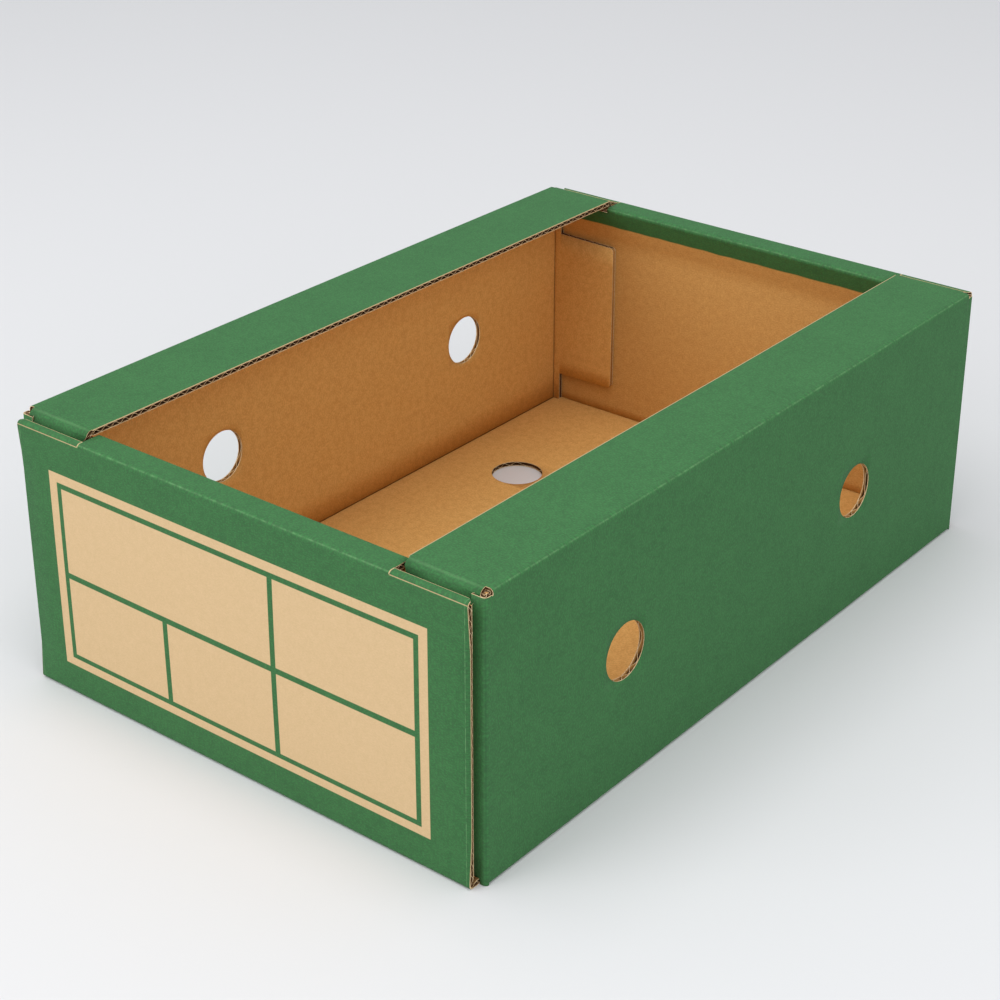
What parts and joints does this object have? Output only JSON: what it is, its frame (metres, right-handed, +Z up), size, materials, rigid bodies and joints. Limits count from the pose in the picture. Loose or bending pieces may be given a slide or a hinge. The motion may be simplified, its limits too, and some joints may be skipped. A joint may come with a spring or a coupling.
{
  "type": "cardboard tray box",
  "caption": "Open tray box folded from one corrugated blank, with rolled double ends, tucked ledges along the sides and round vent holes.",
  "frame": {"origin": "middle of the underside, on the surface the tray stands on", "axes": "+X across the tray to the right wall, +Y along it away from the labelled end, +Z up"},
  "size_m": [0.3026, 0.46, 0.154],
  "materials": {
    "board": "green printed corrugated board, brown inside"
  },
  "bodies": {
    "root": {"tray": "board"}
  },
  "joints": []
}
